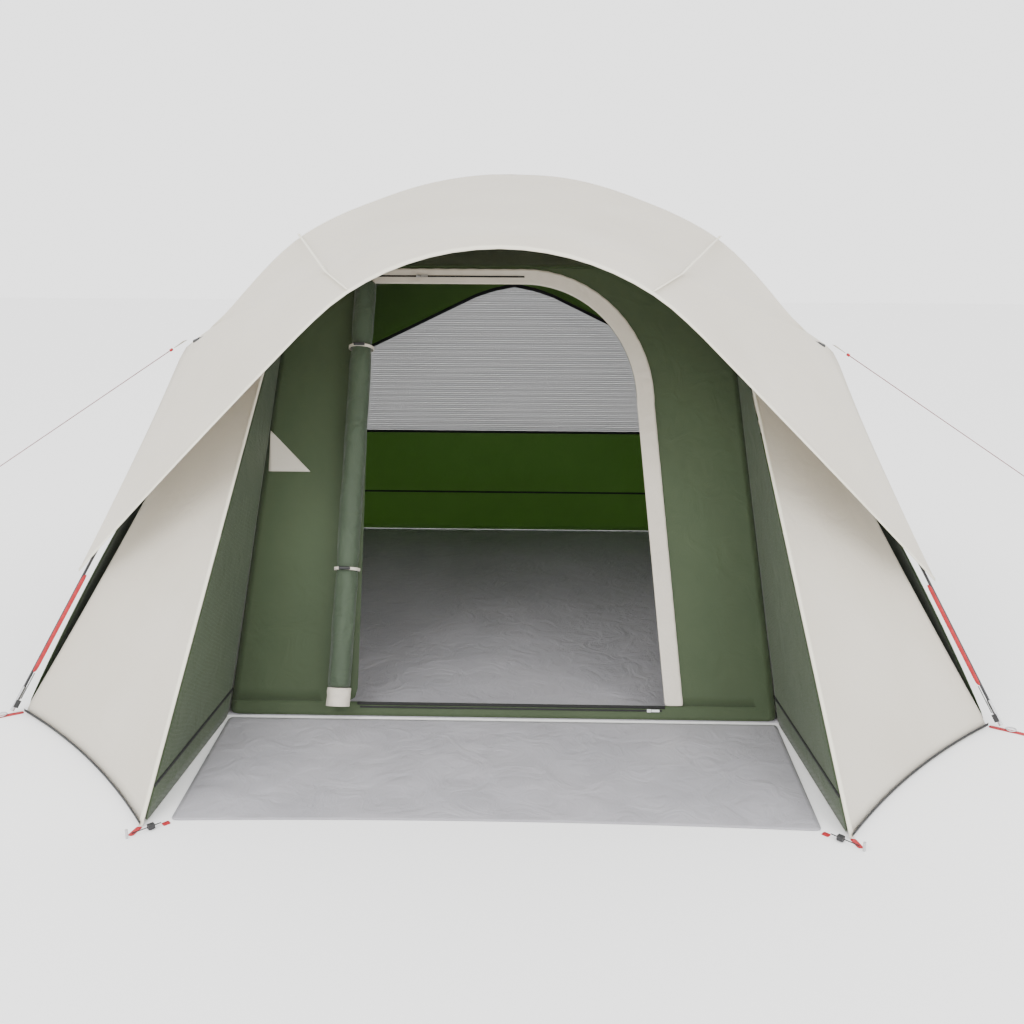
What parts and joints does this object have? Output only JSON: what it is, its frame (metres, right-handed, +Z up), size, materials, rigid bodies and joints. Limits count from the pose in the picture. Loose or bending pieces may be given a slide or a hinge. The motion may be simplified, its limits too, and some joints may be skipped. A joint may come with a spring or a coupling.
{
  "type": "dome tent",
  "caption": "Dome tent on crossed poles with a forward brow pole: cream flysheet, green inner tent with an open arched door, mesh back window, porch wings and mat.",
  "frame": {"origin": "on the ground under the crossing of the two main poles", "axes": "front faces -Y, +X to the right of a person facing the front, +Z up"},
  "size_m": [4.4358, 3.2888, 1.872],
  "materials": {
    "fibreglass": "satin",
    "black_plastic": "satin",
    "steel": "brushed",
    "cream_cloth": "coated weave",
    "red_webbing": "webbing",
    "guy_cord": "braided",
    "black_cord": "braided",
    "grey_sheet": "coated weave",
    "mesh": "fine mesh",
    "green_cloth": "coated weave"
  },
  "bodies": {
    "tent": {"back_mesh": "mesh", "back_wall": "green_cloth", "brow_pole": "fibreglass", "brow_pole_caps": "black_plastic", "corner_webbing": "red_webbing", "door_binding": "cream_cloth", "door_zips": "black_cord", "fly_back": "cream_cloth", "fly_elastics": "black_cord", "fly_hood": "cream_cloth", "fly_hooks": "black_plastic", "fly_roof": "cream_cloth", "fly_side_left": "cream_cloth", "fly_side_right": "cream_cloth", "fly_straps": "red_webbing", "foot_pins": "steel", "foot_rings": "steel", "foot_tubes": "steel", "front_wall": "green_cloth", "groundsheet": "grey_sheet", "guy_knots_left": "red_webbing", "guy_knots_right": "red_webbing", "guy_line_left": "guy_cord", "guy_line_right": "guy_cord", "guy_tabs": "cream_cloth", "inner_roof": "green_cloth", "main_pole_front_left": "fibreglass", "main_pole_front_right": "fibreglass", "mat_cord_left": "black_cord", "mat_cord_right": "black_cord", "mat_tabs": "red_webbing", "peg_loops": "red_webbing", "peg_tops": "steel", "pole_ferrules": "steel", "porch_mat": "grey_sheet", "rolled_door": "green_cloth", "rolled_door_hem": "cream_cloth", "side_wall_left": "green_cloth", "side_wall_right": "green_cloth", "tie_loops": "cream_cloth", "tie_toggles": "black_plastic", "wing_inner_left": "green_cloth", "wing_inner_right": "green_cloth", "wing_outer_left": "cream_cloth", "wing_outer_right": "cream_cloth"},
    "cable_flap": {"cable_flap": "cream_cloth"},
    "zip_slider_sill": {"zip_slider_sill": "steel"},
    "zip_pull_sill": {"zip_pull_sill": "steel"},
    "zip_slider_top": {"zip_slider_top": "steel"},
    "zip_pull_top": {"zip_pull_top": "steel"},
    "guy_runner_left": {"guy_runner_left": "black_plastic"},
    "cord_lock_left": {"cord_lock_left": "black_plastic"},
    "guy_runner_right": {"guy_runner_right": "black_plastic"},
    "cord_lock_right": {"cord_lock_right": "black_plastic"}
  },
  "joints": [
    {"name": "cable_flap_lift", "type": "hinge", "parent": "tent", "child": "cable_flap", "pos_m": [-0.848, -0.88204, 0.79062], "axis": [0, -0.3898, -0.9209], "range_deg": [0, 85]},
    {"name": "zip_sill_travel", "type": "slide", "parent": "tent", "child": "zip_slider_sill", "axis": [-1, 0, 0], "range_m": [0, 0.92]},
    {"name": "zip_sill_pull_flip", "type": "hinge", "parent": "zip_slider_sill", "child": "zip_pull_sill", "pos_m": [0.505, -1.20799, 0.03477], "axis": [0, -0.3898, -0.9209], "range_deg": [0, 150]},
    {"name": "zip_top_travel", "type": "slide", "parent": "tent", "child": "zip_slider_top", "axis": [-1, 0, 0], "range_m": [-0.38, 0.1]},
    {"name": "zip_top_pull_flip", "type": "hinge", "parent": "zip_slider_top", "child": "zip_pull_top", "pos_m": [-0.33, -0.60314, 1.4697], "axis": [0, -0.3898, -0.9209], "range_deg": [0, 150]},
    {"name": "guy_runner_left_travel", "type": "slide", "parent": "tent", "child": "guy_runner_left", "axis": [-0.8415, 0, -0.5402], "range_m": [-0.05, 0.05]},
    {"name": "cord_lock_left_travel", "type": "slide", "parent": "tent", "child": "cord_lock_left", "axis": [-0.7336, -0.6796, 0], "range_m": [-0.01, 0.012]},
    {"name": "guy_runner_right_travel", "type": "slide", "parent": "tent", "child": "guy_runner_right", "axis": [0.8415, 0, -0.5402], "range_m": [-0.05, 0.05]},
    {"name": "cord_lock_right_travel", "type": "slide", "parent": "tent", "child": "cord_lock_right", "axis": [0.7336, -0.6796, 0], "range_m": [-0.01, 0.012]}
  ]
}
